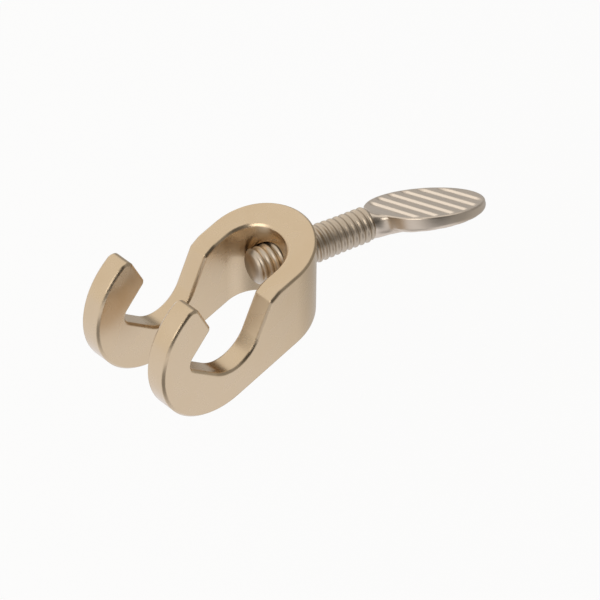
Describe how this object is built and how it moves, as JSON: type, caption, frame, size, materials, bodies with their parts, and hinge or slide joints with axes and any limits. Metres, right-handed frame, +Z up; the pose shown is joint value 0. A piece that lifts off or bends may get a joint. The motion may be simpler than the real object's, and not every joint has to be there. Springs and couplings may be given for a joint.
{
  "type": "boss head clamp",
  "caption": "Hook-type boss head that locks crossing laboratory rods at a right angle with a ribbed thumb screw.",
  "frame": {"origin": "on the axis of the upright rod, at the height of the crossing rod's axis, midway between the two plates", "axes": "+Z up along the upright rod, +X along the crossing rod, +Y back from the hooks to the bend that holds the screw"},
  "size_m": [0.0317, 0.0864, 0.0286],
  "materials": {
    "plated_casting": "nickel plate with a warm tint on a smooth die casting, satin gloss",
    "plated_screw": "nickel-plated steel, duller than the casting"
  },
  "bodies": {
    "body": {"clamp_body": "plated_casting"},
    "screw": {"thumb_screw": "plated_screw"}
  },
  "joints": [
    {"name": "screw_travel", "type": "slide", "parent": "body", "child": "screw", "axis": [0.2147, 0.9767, 0], "range_m": [-0.00706, 0.00423]}
  ]
}
